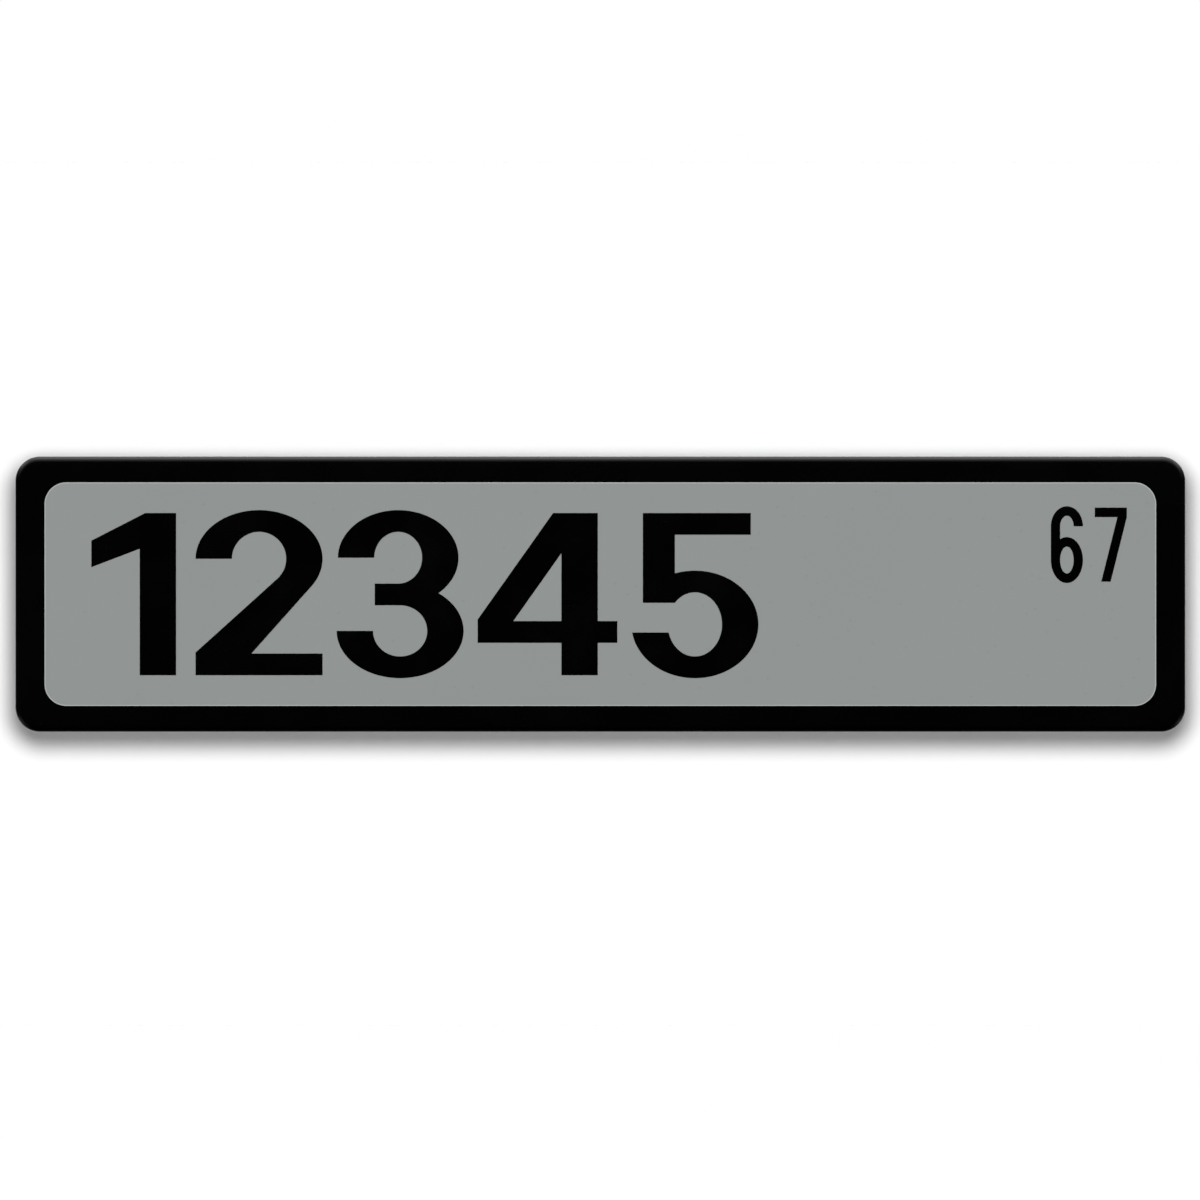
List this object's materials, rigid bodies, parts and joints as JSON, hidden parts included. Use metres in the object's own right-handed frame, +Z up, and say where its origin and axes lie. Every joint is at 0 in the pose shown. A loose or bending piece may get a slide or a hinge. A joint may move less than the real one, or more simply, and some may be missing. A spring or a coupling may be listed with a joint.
{
  "type": "street name sign",
  "caption": "Flat aluminium street name sign with a black border, a grey film panel and black numerals, made to be fixed by its back.",
  "frame": {"origin": "centre of the plate's flat back face", "axes": "+X along the sign to the reader's right, +Y out of the back face, so the sign reads from -Y, and +Z up"},
  "size_m": [0.4318, 0.0028, 0.1016],
  "materials": {
    "black_coat": "satin black coat on aluminium sheet, with a bare rolled back",
    "grey_film": "matt film, mid grey with a trace of green",
    "black_film": "satin black film, knife cut"
  },
  "bodies": {
    "root": {"sign_plate": "black_coat", "grey_panel": "grey_film", "large_numeral_one": "black_film", "large_numeral_two": "black_film", "large_numeral_three": "black_film", "large_numeral_four": "black_film", "large_numeral_five": "black_film", "small_numeral_six": "black_film", "small_numeral_seven": "black_film"}
  },
  "joints": []
}
